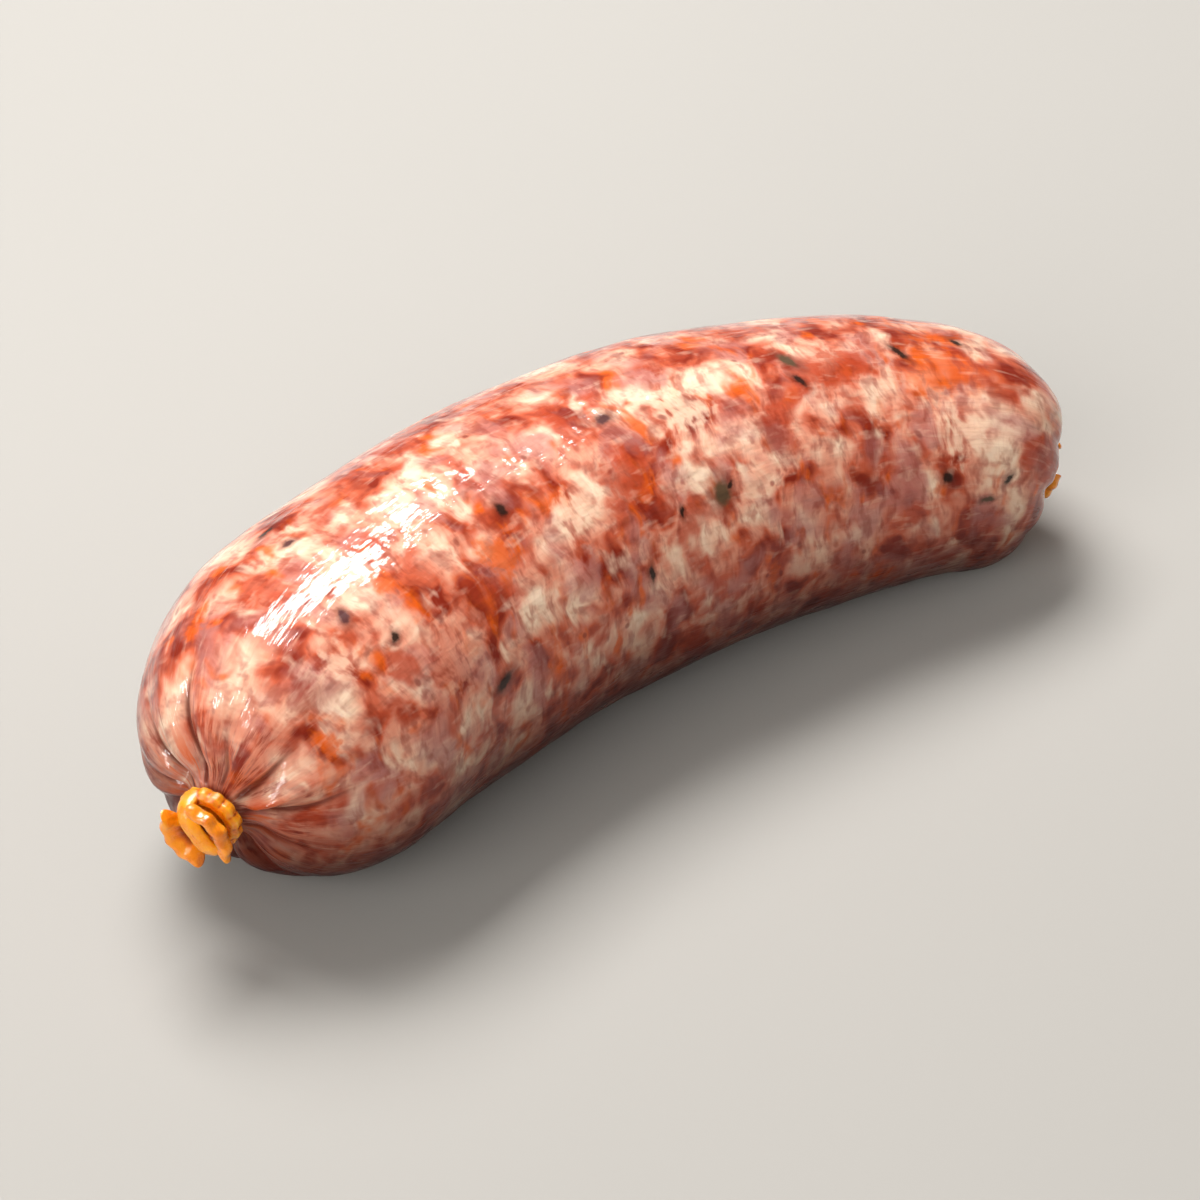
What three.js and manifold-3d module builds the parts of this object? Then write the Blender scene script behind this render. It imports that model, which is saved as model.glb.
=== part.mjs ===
// A fresh sausage link lying on its side: a plump, bowed casing packed with coarse meat, gathered into
// pleats at both ends. A tie closes each neck, and its strand crosses the ruffled casing end beyond it.
// Millimetres, +Z up. The link runs along X, from its near end at -X to its slimmer far end at +X, and
// bows towards +Y. The origin is under the middle of the whole, on the surface that the link lies on.

import * as THREE from "three";
import { mergeVertices } from "three/addons/utils/BufferGeometryUtils.js";
import Module from "manifold-3d";

// The spine: a curve in plan between the two necks, whose ends turn away from the straight span.
const SPAN = 107.4;
const END_TURN = { near: 25, far: 25 }; // degrees
const END_REACH = { near: 56.7, far: 18 }; // how far each end's direction carries into the curve
const DROOP = { near: 0.5, far: 3.25, over: 13 }; // how the last of each end sinks

// The filled casing. "Along" is the distance along the spine from the near end.
const GIRTH = [17.35, 17.5, 19.8, 11.4]; // the four controls of a smooth run of radii
const CAP = { near: 20.7, far: 10.4 }; // how far the rounded ends reach along the spine
const CAP_POWER = { near: 2.3, far: 3 }; // 2 is an ellipse, more is blunter
const DIMPLE = { near: 0, far: 2.2, reach: 4.5 }; // how deep each neck is drawn in, and from how far round
const SAG = 0.7; // how much the soft underside is pressed flat
const LUMP = 0.22; // unevenness of the filling

// The pleats where the casing is gathered, at angles from straight up towards the bow's outer side.
const PLEATS = {
  near: [27, 65, 95, 120, 145, 175, 205, 245, 282, 315, 353],
  far: [10, 48, 80, 118, 150, 182, 215, 251, 284, 320],
};
const PLEAT = {
  near: { shortest: 9, longest: 18, deepest: 2.3 },
  far: { shortest: 7, longest: 12, deepest: 1.5 },
  start: 3,
  width: 1.2,
};
const FOLD = { angle: 297, length: 13, height: 0.9, width: 1.3 }; // one pinched fold by the near pleats

// The neck and the ruffled casing end beyond it. "Out" is the distance beyond the foot of the neck.
const NECK = { radius: 2.4, length: 3 };
const RUFFLES = 12;
const RUFFLE = 0.06; // share of the radius
const SQUEEZE = { width: 0.62, height: 0.78, from: 1.7, to: 2.5 }; // what the strand takes, out to its sides
// The casing end's wall, from the floor of its hollow over the rim and back to the neck: [radius, out].
const CASING_END = [
  [0, 3.9],
  [1.2, 3.9],
  [2.2, 4.4],
  [3.2, 5.4],
  [4.0, 6.2],
  [4.7, 6.2],
  [5.0, 5.6],
  [4.7, 4.9],
  [3.9, 4.2],
  [3.1, 3.7],
];

// The tie: a gathered band round the neck, and the strand that crosses the casing end.
const BAND = { inner: 2.75, outer: 4.4, from: 0.45, to: 2.7, round: 0.6 };
const BAND_RIBS = 13;
const RIB = 0.05; // share of the radius
const STRAND = { width: 3, thickness: 1.8, side: 3.8, top: 5.2 };
const STRAND_ANGLE = { near: 35, far: -35 }; // degrees from straight up, towards the bow's outer side
const TIE_SCALE = { near: 0.75, far: 0.66 }; // the far neck is gathered tighter, all in proportion

const BODY_ROWS = 60;
const CROWDING = 0.11; // how much the rows gather at the ends
const SEGMENTS = 72;
const BAND_SEGMENTS = BAND_RIBS * 4;
const STRAND_STEPS = 16;

const { clamp, degToRad, euclideanModulo, smoothstep } = THREE.MathUtils;
const SPINE = makeSpine();
const LENGTH = SPINE.getLength();

function makeSpine() {
  const near = new THREE.Vector3(-SPAN / 2, 0, 0);
  const far = new THREE.Vector3(SPAN / 2, 0, 0);
  const towards = (degrees, distance) =>
    new THREE.Vector3(Math.cos(degToRad(degrees)), Math.sin(degToRad(degrees)), 0).multiplyScalar(distance);
  return new THREE.CubicBezierCurve3(
    near,
    near.clone().add(towards(END_TURN.near, END_REACH.near)),
    far.clone().add(towards(180 - END_TURN.far, END_REACH.far)),
    far,
  );
}

function girth(share) {
  const left = 1 - share;
  const [a, b, c, d] = GIRTH;
  return a * left ** 3 + 3 * b * left * left * share + 3 * c * left * share * share + d * share ** 3;
}

// How far a rounded end has opened, from 0 at the neck to 1 where the cap is done.
function opening(distance, end) {
  const left = 1 - clamp(distance / CAP[end], 0, 1);
  return (1 - left ** CAP_POWER[end]) ** (1 / CAP_POWER[end]);
}

// The spine's frame: a point on it, the way ahead, the side towards the bow, and the way up. It runs on
// straight from the foot of each neck.
function frameAt(along) {
  const held = clamp(along, DIMPLE.near, LENGTH - DIMPLE.far);
  const share = held / LENGTH;
  const origin = SPINE.getPointAt(share);
  const ahead = SPINE.getTangentAt(share);
  const side = new THREE.Vector3(-ahead.y, ahead.x, 0);
  const nearSunk = Math.max(0, 1 - held / DROOP.over);
  const farSunk = Math.max(0, 1 - (LENGTH - held) / DROOP.over);
  origin.z = girth(share) - SAG - DROOP.near * nearSunk ** 2 - DROOP.far * farSunk ** 2;
  ahead.z = (2 * (DROOP.near * nearSunk - DROOP.far * farSunk)) / DROOP.over;
  ahead.normalize();
  origin.addScaledVector(ahead, along - held);
  return { origin, ahead, side, up: new THREE.Vector3().crossVectors(ahead, side) };
}

function place(along, sideways, upwards) {
  const { origin, side, up } = frameAt(along);
  const point = origin.addScaledVector(side, sideways).addScaledVector(up, upwards);
  point.z = Math.max(point.z, 0);
  return point;
}

// The filled casing's profile as (radius, along), drawn in at its ends by the dimple round each neck.
function capped(along) {
  const radius = girth(along / LENGTH) * opening(along, "near") * opening(LENGTH - along, "far");
  const end = along < LENGTH / 2 ? "near" : "far";
  const neck = NECK.radius * TIE_SCALE[end];
  const drawn = DIMPLE[end] * Math.exp(-(((Math.max(radius, neck) - neck) / DIMPLE.reach) ** 2));
  return new THREE.Vector2(Math.max(radius, neck), end === "near" ? along + drawn : along - drawn);
}

// The rows of that profile from neck to neck, crowded towards the ends.
function bodyRows() {
  const fine = [];
  for (let i = 0; i <= 4000; i++) {
    fine.push(capped((LENGTH * (1 - Math.cos((Math.PI * i) / 4000))) / 2));
  }
  const walk = [0];
  for (let i = 1; i < fine.length; i++) {
    walk.push(walk[i - 1] + fine[i].distanceTo(fine[i - 1]));
  }
  const rows = [];
  let next = 0;
  for (let row = 0; row <= BODY_ROWS; row++) {
    const share = row / BODY_ROWS - CROWDING * Math.sin((2 * Math.PI * row) / BODY_ROWS);
    while (next < walk.length - 1 && walk[next] < share * walk.at(-1)) {
      next++;
    }
    rows.push(fine[next]);
  }
  return rows;
}

// Where a casing end starts, and how far one unit of "out" carries along the spine.
function foot(end) {
  return end === "near"
    ? { from: DIMPLE.near, outward: -TIE_SCALE.near }
    : { from: LENGTH - DIMPLE.far, outward: TIE_SCALE.far };
}

function casingEndRows(end) {
  const { from, outward } = foot(end);
  const wall = [...CASING_END, [NECK.radius, NECK.length]];
  const rows = wall.map(([radius, out]) => new THREE.Vector2(radius * TIE_SCALE[end], from + out * outward));
  return end === "near" ? rows : rows.reverse();
}

// How much a crease is felt at an angle: one at its middle, less with the distance round the link.
function across(angle, middle, radius, width) {
  const off = Math.abs(euclideanModulo(angle - degToRad(middle) + Math.PI, 2 * Math.PI) - Math.PI);
  return Math.exp(-(off * radius) / width);
}

// How much it is felt this far from the neck: it rises within a short start, then dies away.
function lengthwise(walk, length) {
  return smoothstep(walk, 0, PLEAT.start) * Math.max(0, 1 - walk / length) ** 1.3;
}

function pleatDepth(end, angle, radius, fromEnd) {
  const walk = Math.hypot(fromEnd, radius) - NECK.radius;
  let depth = 0;
  PLEATS[end].forEach((middle, i) => {
    const share = (i * 0.618 + 0.9) % 1;
    const length = PLEAT[end].shortest + (PLEAT[end].longest - PLEAT[end].shortest) * share;
    const deep = PLEAT[end].deepest * (0.6 + 0.4 * share);
    depth += deep * lengthwise(walk, length) * across(angle, middle, radius, PLEAT.width);
  });
  if (end === "near") {
    depth -= FOLD.height * lengthwise(walk, FOLD.length) * across(angle, FOLD.angle, radius, FOLD.width);
  }
  return depth;
}

function lumps(along, angle) {
  return (
    LUMP * Math.sin(along / 7 + 2 * Math.sin(angle)) * Math.cos(2 * angle + along / 19) +
    LUMP * 0.6 * Math.sin(along / 4.3 - 3 * angle)
  );
}

// The casing end is squeezed narrow and short right under the strand, and flares on both sides of it.
function squeezed(end, radius, along, angle) {
  const { from, outward } = foot(end);
  const scale = TIE_SCALE[end];
  const out = (along - from) / outward;
  const flare = smoothstep(out, NECK.length, NECK.length + 1.5);
  const ruffled = radius * (1 + RUFFLE * flare * Math.cos(RUFFLES * angle));
  const strandAngle = degToRad(STRAND_ANGLE[end]);
  const aside = ruffled * Math.sin(angle - strandAngle);
  const under = 1 - smoothstep(Math.abs(aside) / scale, SQUEEZE.from, SQUEEZE.to);
  const withStrand = ruffled * Math.cos(angle - strandAngle) * (1 - SQUEEZE.width * under * flare);
  const shortened = 1 - SQUEEZE.height * under * Math.min(radius / scale / 1.5, 1);
  return {
    radius: Math.hypot(aside, withStrand),
    angle: strandAngle + Math.atan2(aside, withStrand),
    along: from + (NECK.length + (out - NECK.length) * shortened) * outward,
  };
}

function makeLink() {
  const rows = [...casingEndRows("near"), ...bodyRows(), ...casingEndRows("far")];
  const firstOfBody = CASING_END.length + 1;
  const lastOfBody = firstOfBody + BODY_ROWS;
  const geometry = new THREE.LatheGeometry(rows, SEGMENTS);
  const position = geometry.getAttribute("position");
  const normal = geometry.getAttribute("normal");
  for (let i = 0; i < position.count; i++) {
    const row = i % rows.length;
    let angle = Math.atan2(-position.getX(i), position.getZ(i));
    let radius = Math.hypot(position.getX(i), position.getZ(i));
    let along = position.getY(i);
    const end = along < LENGTH / 2 ? "near" : "far";
    if (row < firstOfBody || row > lastOfBody) {
      ({ radius, angle, along } = squeezed(end, radius, along, angle));
    } else if (row > firstOfBody && row < lastOfBody) {
      const fromEnd = end === "near" ? along : LENGTH - along;
      const filled = smoothstep(radius, NECK.radius, GIRTH[3]);
      const out = filled * lumps(along, angle) - pleatDepth(end, angle, radius, fromEnd);
      radius += out * Math.hypot(normal.getX(i), normal.getZ(i));
      along += out * normal.getY(i);
    }
    position.setXYZ(i, ...place(along, radius * Math.sin(angle), radius * Math.cos(angle)));
  }
  return closed(geometry);
}

// Merges the seam and the poles, so that the surface is one closed skin.
function closed(geometry) {
  geometry.deleteAttribute("normal");
  geometry.deleteAttribute("uv");
  return mergeVertices(geometry, 1e-3);
}

// The band, standing round the local X axis: a rounded section, ribbed where it is gathered.
function makeBand() {
  const { inner, outer, from, to, round } = BAND;
  const section = [
    [inner, from],
    [outer - round, from],
    [outer, from + round],
    [outer, to - round],
    [outer - round, to],
    [inner, to],
    [inner, from],
  ];
  const points = section.map(([radius, out]) => new THREE.Vector2(radius, out));
  const geometry = new THREE.LatheGeometry(points, BAND_SEGMENTS);
  const position = geometry.getAttribute("position");
  for (let i = 0; i < position.count; i++) {
    const radius = Math.hypot(position.getX(i), position.getZ(i));
    const angle = Math.atan2(position.getX(i), position.getZ(i));
    const rib = 1 + RIB * smoothstep(radius, inner, outer) * Math.cos(BAND_RIBS * angle);
    position.setXYZ(i, position.getX(i) * rib, position.getY(i), position.getZ(i) * rib);
  }
  geometry.rotateZ(-Math.PI / 2);
  return closed(geometry);
}

// The strand, in the local XZ plane: out of the band, over the casing end and back into the band.
function makeStrand() {
  const { side, top, width, thickness } = STRAND;
  const root = (BAND.from + BAND.to) / 2;
  const half = [
    [side, root],
    [side, root + 1.4],
    [side - 0.4, top - 1],
    [side * 0.55, top - 0.15],
  ];
  const arch = [...half, [0, top], ...half.map(([z, x]) => [-z, x]).reverse()];
  const path = new THREE.CatmullRomCurve3(arch.map(([z, x]) => new THREE.Vector3(x, 0, z)));
  const oval = new THREE.Shape().absellipse(0, 0, width / 2, thickness / 2, 0, 2 * Math.PI);
  const geometry = new THREE.ExtrudeGeometry(oval, { steps: STRAND_STEPS, curveSegments: 5, extrudePath: path });
  return closed(geometry);
}

function join(wasm, first, second) {
  const solid = (geometry) =>
    new wasm.Manifold(
      new wasm.Mesh({
        numProp: 3,
        vertProperties: geometry.getAttribute("position").array,
        triVerts: new Uint32Array(geometry.index.array),
      }),
    );
  const mesh = solid(first).add(solid(second)).getMesh();
  const joined = new THREE.BufferGeometry();
  joined.setAttribute("position", new THREE.BufferAttribute(mesh.vertProperties, 3));
  joined.setIndex(new THREE.BufferAttribute(mesh.triVerts, 1));
  return joined;
}

// Stands a tie on its neck: the tie's own X axis points out of the link, and its strand leans over.
function standOnNeck(tie, end) {
  const near = end === "near";
  const { origin, ahead, side, up } = frameAt(foot(end).from);
  const turned = near ? [ahead.negate(), side.negate(), up] : [ahead, side, up];
  tie.quaternion.setFromRotationMatrix(new THREE.Matrix4().makeBasis(...turned));
  tie.rotateX(degToRad(near ? STRAND_ANGLE.near : -STRAND_ANGLE.far));
  tie.position.copy(origin);
  tie.scale.setScalar(TIE_SCALE[end]);
}

const wasm = await Module();
wasm.setup();

const casing = new THREE.MeshStandardMaterial({ color: 0xb8735c, roughness: 0.25, metalness: 0 });
const orange = new THREE.MeshStandardMaterial({ color: 0xe8861e, roughness: 0.35, metalness: 0 });

const link = new THREE.Mesh(makeLink(), casing);
link.name = "link";
const tieShape = join(wasm, makeBand(), makeStrand());

const lying = new THREE.Group();
lying.add(link);
for (const end of ["near", "far"]) {
  const tie = new THREE.Mesh(tieShape, orange);
  tie.name = `${end}_tie`;
  standOnNeck(tie, end);
  lying.add(tie);
}
lying.updateMatrixWorld(true);
const middle = new THREE.Box3().setFromObject(lying, true).getCenter(new THREE.Vector3());
lying.position.set(-middle.x, -middle.y, 0);

const part = new THREE.Group();
part.add(lying);
export default part;
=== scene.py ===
import functools
import math
import random

import bpy
import numpy as np
from mathutils import Matrix, Vector, noise
from mathutils.bvhtree import BVHTree


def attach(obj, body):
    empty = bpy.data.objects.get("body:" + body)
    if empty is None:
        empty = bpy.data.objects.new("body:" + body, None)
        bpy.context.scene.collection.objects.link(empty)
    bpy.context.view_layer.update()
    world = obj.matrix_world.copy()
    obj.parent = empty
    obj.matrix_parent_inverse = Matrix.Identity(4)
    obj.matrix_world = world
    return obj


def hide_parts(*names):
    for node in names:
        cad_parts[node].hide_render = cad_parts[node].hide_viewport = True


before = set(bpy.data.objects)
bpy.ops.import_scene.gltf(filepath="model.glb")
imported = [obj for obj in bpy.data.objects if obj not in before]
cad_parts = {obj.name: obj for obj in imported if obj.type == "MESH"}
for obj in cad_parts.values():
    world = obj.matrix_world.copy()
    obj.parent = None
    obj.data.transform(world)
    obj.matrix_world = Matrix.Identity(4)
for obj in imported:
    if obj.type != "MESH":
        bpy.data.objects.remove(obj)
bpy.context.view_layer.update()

# Units: the link's sizes are in millimetres and degrees, and its meshes are turned into metres.
MM = 0.001

# The camera stands in front of the link, towards its near end, and looks down at it.
LOOK_AT = (-3.3, -7.0, 16.3)
CAMERA = {"distance": 450, "azimuth": -37.6, "elevation": 39, "lens": 130.95, "sensor": 36}
CLIP = (0.01, 20)  # metres
# The square of the photograph that the view shows, in the photograph's pixels
VIEW = {"middle": (692, 487), "width": 600}

# The studio. A light's place is a direction from the link's middle and a distance.
FLOOR = {"size": 6000, "colour": (178, 174, 168), "darker": 3, "mottle": 3.0, "roughness": 0.8}
WORLD = {"colour": (240, 238, 234), "strength": 0.24}
KEY = {"towards": (0.05, 0.45, 0.88), "distance": 620, "long": 420, "wide": 300, "watts": 5.9, "turn": 25}
FILL = {"towards": (-0.86, -0.42, 0.52), "distance": 1100, "long": 900, "wide": 900, "watts": 8.6}
# The key and fill don't show in highlights, and the two cards show only there.
CARD = {"towards": (0.05, 0.36, 0.93), "distance": 600, "long": 540, "wide": 150, "watts": 12, "turn": 22}
SIDE_CARD = {"towards": (-0.9, 0.1, 0.42), "distance": 600, "long": 50, "wide": 160, "watts": 1.2}

# The spine and the filled casing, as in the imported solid
SPAN = 107.4
END_TURN = {"near": 25, "far": 25}  # degrees
END_REACH = {"near": 56.7, "far": 18}  # how far each end's direction carries into the curve
DROOP = {"near": 0.5, "far": 3.25, "over": 13}  # how the last of each end sinks
MIDDLE = (-1.2933, 9.6619)  # the middle of the whole in plan, measured from the spine's own middle
GIRTH = (17.35, 17.5, 19.8, 11.4)  # the four controls of a smooth run of radii
CAP = {"near": 20.7, "far": 10.4}  # how far the rounded ends reach along the spine
CAP_POWER = {"near": 2.3, "far": 3}  # 2 is an ellipse, more is blunter
DIMPLE = {"near": 0, "far": 2.2, "reach": 4.5}  # how deep each neck is drawn in, and from how far round
SAG = 0.7  # how much the soft underside is pressed flat
LUMP = {"height": 0.22, "waves": (7, 19, 4.3), "finer": 0.6}  # unevenness of the filling
NECK = {"radius": 2.4, "length": 3}

# The gathers. The solid leaves out the fine wrinkles and the swelling, and its fold is lower.
PLEATS = {
    "near": (27, 65, 95, 120, 145, 175, 205, 245, 282, 315, 353),
    "far": (10, 48, 80, 118, 150, 182, 215, 251, 284, 320),
}
PLEAT = {
    "near": {"shortest": 9, "longest": 18, "deepest": 2.3},
    "far": {"shortest": 7, "longest": 12, "deepest": 1.5},
    "shallowest": 0.6,  # share of the deepest
    "start": 3,
    "fade": 1.3,
    "width": 1.2,
    "soft": 0.12,
    "wander": 0.05,
    "wave": 2.3,
}
GOLDEN = 0.618  # spreads the pleats' lengths and depths without a pattern
FIRST_SHARE = 0.9
# Painted shade along the bottom of each pleat
CREASE_LINE = {"width": 0.38, "start": 1, "from": 0.3}
FOLD = {"angle": 297, "length": 14, "height": 2.3, "width": 1.1}
SWELL = {"height": 0.65, "length": 17}
WRINKLE = {"count": 34, "height": 0.1, "length": 7, "start": 1, "sway": (2.2, 1.4), "uneven": 0.5}
GRAIN = {"height": 0.1, "size": 3.4, "seed": 1}
GATHERED = {"near": 17, "far": 11}  # how far from each neck the colours are drawn out with the pleats

# The casing end beyond each neck, as (radius, out) from the floor of its hollow to the neck
CASING_END = (
    (0, 3.9),
    (1.2, 3.9),
    (2.2, 4.4),
    (3.1, 5.6),
    (3.9, 6.4),
    (4.8, 6.4),
    (5.2, 5.6),
    (4.9, 4.7),
    (4.0, 4.1),
    (3.1, 3.7),
)
RIM_POINT = 4
RUFFLES = 12
RUFFLE = 0.035  # share of the radius
# What the strand takes off the casing end, out to its sides
SQUEEZE = {"width": 0.62, "height": 0.78, "from": 1.7, "to": 2.5, "flare": 1.5, "within": 1.5}
CRUMPLE = {"height": 0.4, "size": 2.6, "seed": 4, "from": 0.5, "to": 2}
# Painted shade in the casing end's hollow
HOLLOW_SHADE = (4.2, 6.0)  # how far out its dark ends and its light starts

# The tie
BAND = {"inner": 2.75, "outer": 4.4, "from": 0.45, "to": 2.7, "round": 0.6}
BAND_RIBS = 13
RIB = 0.05  # share of the radius
RIB_SWAY = 0.3
STRAND = {"width": 3, "thickness": 1.8, "side": 3.8, "top": 5.2}
STRAND_ANGLE = {"near": 35, "far": -35}  # degrees from straight up, towards the bow's outer side
TIE_SCALE = {"near": 0.75, "far": 0.66}  # the far neck is gathered tighter, all in proportion
STRAND_ARCH = {"straight": 1.4, "inwards": 0.4, "shoulder": 1, "crown": 0.55, "crown_drop": 0.15}
STRAND_GROOVE = 0.05  # share of the strand's own size
TIE_VOXEL = 0.11
TIE_SMOOTHING = {"skin": 3, "blurred": 30}
# Painted shade in the tie's creases and painted light on its ridges
TIE_CREASE = 0.07  # how far below its surroundings a crease is fully dark
TIE_DENTS = ((0.05, 0.8), (0.08, 2.2))  # the height and size of each kind
TIE_SEED = {"near": 2, "far": 3}

# How fine the meshes are
SPINE_STEPS = 4000
PROFILE_STEPS = 8000
SEGMENTS = 320
BODY_ROWS = 230
CROWDING = 0.11  # how much the rows gather at the ends
END_STEPS = 4
BAND_SEGMENTS = 156
STRAND_STEPS = 72
STRAND_SIDES = 40
FINDER = {"rows": 240, "columns": 360}  # the mesh that finds what shows at a pixel
NOISE_STEP = (17.3, 5.1, 9.7)  # how far apart in the noise two seeds are

# Colours, as sRGB bytes
CREAM = (254, 218, 190)
PINK_BEIGE = (232, 160, 132)
SALMON = (204, 102, 70)
MAUVE = (188, 76, 42)
BRICK = (144, 42, 20)
DARK_MEAT = (104, 30, 16)
STAIN = (226, 100, 10)
LAVENDER = (190, 128, 118)
# Painted shade in creases and hollows
CREASE_PAINTED_SHADE = (92, 26, 12)
# Painted shade for the lower flank
FLANK_PAINTED_SHADE = (72, 20, 6)
HERB_BLACK = (34, 22, 14)
HERB_GREY = (92, 76, 54)
HERB_PURPLE = (88, 48, 50)
SPECK_RED = (128, 40, 30)
# The tie's light orange is partly painted light on ridges, and its deep orange partly painted shade in
# creases
TIE_LIGHT = (255, 176, 30)
TIE_ORANGE = (246, 126, 0)
TIE_DEEP = (120, 32, 0)

# The meat and fat: a noise's value and the colour there, and the layers laid over that
MEAT_BASE = ((0.37, BRICK), (0.44, SALMON), (0.52, PINK_BEIGE), (0.66, CREAM))
MEAT_NOISE = {"scale": 0.19, "detail": 2.5, "roughness": 0.5}
ROUND_IT = (1.6, 1.0, 1.0)  # draws a noise out round the link
LINK_RADIUS = 17.5  # turns a direction round the link into millimetres
# How much each direction, along first, is stretched for a noise
HAIR_WAY = (2.6, 0.8, 0.8)
RAY_WAY = (0.12, 9.0, 9.0)
DRAWN_WAY = (0.4, LINK_RADIUS, LINK_RADIUS)
TIGHT_WAY = (0.2, LINK_RADIUS, LINK_RADIUS)
TIE_WAY = (1.0, 2.2, 2.2)
# How a noise moves the coordinates, as (its scale, how far)
BENT = (0.2, 3.0)
TORN = (0.55, 3.0)
FRAYED = (1.1, 0.9)
DRAWN = (0.5, 1.2)
TIE_WARPED = (0.6, 1.4)
# Each layer: (colour, shift, drawn out round the link, scale, roughness, from, to, share)
MEAT_LAYERS = (
    (CREAM, (11, 3, 29), True, 0.23, 0.5, 0.54, 0.74, 0.85),
    (LAVENDER, (5, 41, 13), False, 0.17, 0.55, 0.48, 0.64, 0.7),
    (MAUVE, (23, 17, 51), False, 0.2, 0.5, 0.53, 0.68, 0.85),
    (STAIN, (31, 7, 3), True, 0.22, 0.5, 0.56, 0.72, 0.85),
)
# Streaks: as a noise goes from the first value to the second, the share of colour goes between the others
PALE_STREAK = (0.54, 0.74, 0, 0.28)
DARK_STREAK = (0.3, 0.54, 0.5, 0)
HAIR = (0.3, 0.55, 0.12, 0)
DARK_MEAT_STREAK = (0.3, 0.46, 0.18, 0)
# The gathered ends, in the same form, each felt between two shares of the gathering
PALE_RAY = {"noise": (0.46, 0.6, 0, 0.8), "gather": (0.1, 0.8)}
RUDDY_RAY = {"noise": (0.34, 0.46, 0.75, 0), "gather": (0.1, 0.8)}
STAINED_RAY = {"noise": (0.5, 0.62, 0, 0.8), "gather": (0.6, 1.0)}
STAINED_FOLD = (0.2, 0.8, 0, 0.6)
SPECK = {"spacing": 0.42, "rarer_than": 0.85, "edge": (0.08, 0.22, 0.6, 0)}
FLECK_HALO = (-0.9, 0.2, 0, 0.5)
FLECK_EDGE = (0.0, 0.6, 0, 0.92)
BLOB_DEPTH = 2.5  # how deep a fleck or patch reaches at least
PATCH_EDGE = (0.0, 0.75)
PATCH_RAGGED = 2.0
DEEPER = 0.15  # how much the colour is overlaid on itself
# Painted shade on the lower flank, darker towards the underside
FLANK_PAINTED_SHADE_RANGE = (-0.65, 0.65, 0.97, 0)  # by height, in shares of the near end's radius
# Painted shade in creases and hollows
CREASE_SHADE = (0.1, 0.8, 0, 0.85)
# The surface
CASING_SHEEN = {"tight": (0.3, 0.7, 0.26, 0.42), "coat": (-0.6, 0.5, 0.08, 1.0)}
CASING_RELIEF = {"tight": 0.12, "soft": 0.3}
TIE_MOTTLED = (0.6, 0.2)
# Painted light on ridges and painted shade in creases
TIE_RIDGE_LIGHT_CREASE_SHADE = -0.4  # a crease counts against the light colour, and a ridge for it
TIE_RAISED = (0.3, 0.85)
TIE_RUST = (0.34, 0.5, 0.25, 0)
TIE_PAINTED_CREASE_SHADE = (0.0, 0.8, 0, 0.95)
TIE_SHEEN = (0.3, 0.7, 0.22, 0.36)
TIE_RELIEF = 0.1

# Herb and pepper flecks: (the photograph's pixel where each shows, length, width, slant, colour)
FLECKS = (
    ((643, 441), 1.1, 0.8, 80, HERB_BLACK),
    ((754, 433), 1.9, 1.5, 60, HERB_GREY),
    ((757, 429), 0.6, 0.5, 20, HERB_BLACK),
    ((589, 506), 0.9, 0.6, 30, HERB_BLACK),
    ((644, 529), 1.9, 0.8, 20, HERB_BLACK),
    ((564, 496), 1.2, 0.7, 70, HERB_PURPLE),
    ((693, 396), 1.2, 0.8, 10, HERB_PURPLE),
    ((719, 474), 1.3, 0.5, 85, HERB_BLACK),
    ((733, 443), 0.8, 0.4, 75, HERB_BLACK),
    ((786, 368), 1.7, 0.8, 120, HERB_GREY),
    ((792, 378), 1.2, 0.5, 125, HERB_BLACK),
    ((841, 363), 1.7, 0.5, 125, HERB_BLACK),
    ((869, 358), 0.9, 0.4, 120, HERB_BLACK),
    ((866, 426), 0.9, 0.8, 10, HERB_BLACK),
    ((896, 426), 1.0, 0.4, 60, HERB_BLACK),
    ((886, 437), 1.2, 0.4, 10, HERB_GREY),
    ((526, 453), 1.5, 0.4, 5, HERB_BLACK),
    ((536, 459), 0.9, 0.6, 0, HERB_PURPLE),
)
# More flecks, strewn over the sides that the photograph doesn't show
STREWN = {
    "count": 10,
    "along": (15, 100),
    "angle": (40, 240),
    "length": (0.8, 1.5),
    "width": (0.4, 0.8),
    "seed": 7,
}
# Stains and fat patches that stand out: (pixel, length, width, slant, colour, strength)
PATCHES = (
    ((805, 372), 9, 4, 15, MAUVE, 0.8),
    ((705, 427), 5, 4, 30, MAUVE, 0.8),
    ((599, 470), 4, 3, 30, SALMON, 0.7),
    ((779, 405), 5, 2.5, 110, BRICK, 0.7),
    ((545, 536), 3, 2.5, 30, BRICK, 0.6),
    ((858, 370), 6, 5, 60, STAIN, 0.6),
    ((642, 462), 4, 3, 40, STAIN, 0.75),
    ((584, 477), 2.5, 2, 60, STAIN, 0.75),
    ((490, 498), 3, 1.5, 0, STAIN, 0.75),
    ((555, 560), 2.5, 2, 30, STAIN, 0.8),
    ((872, 403), 4.5, 3.5, 70, CREAM, 0.7),
    ((732, 389), 6, 4, 60, CREAM, 0.75),
    ((679, 445), 5, 3, 40, CREAM, 0.6),
    ((562, 519), 3, 2.5, 40, CREAM, 0.6),
    ((620, 515), 6, 5, 20, PINK_BEIGE, 0.6),
    ((685, 476), 4, 3, 30, LAVENDER, 0.7),
    ((713, 376), 4, 2.5, 0, LAVENDER, 0.7),
    ((584, 580), 3, 2.5, 0, LAVENDER, 0.7),
)


def linear(colour):
    """An sRGB colour in bytes as the linear colour that a shader takes."""
    shares = [byte / 255 for byte in colour]
    return (*[s / 12.92 if s <= 0.04045 else ((s + 0.055) / 1.055) ** 2.4 for s in shares], 1)


def smoothstep(value, low, high):
    share = np.clip((value - low) / (high - low), 0, 1)
    return share * share * (3 - 2 * share)


# The camera and the studio


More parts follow.
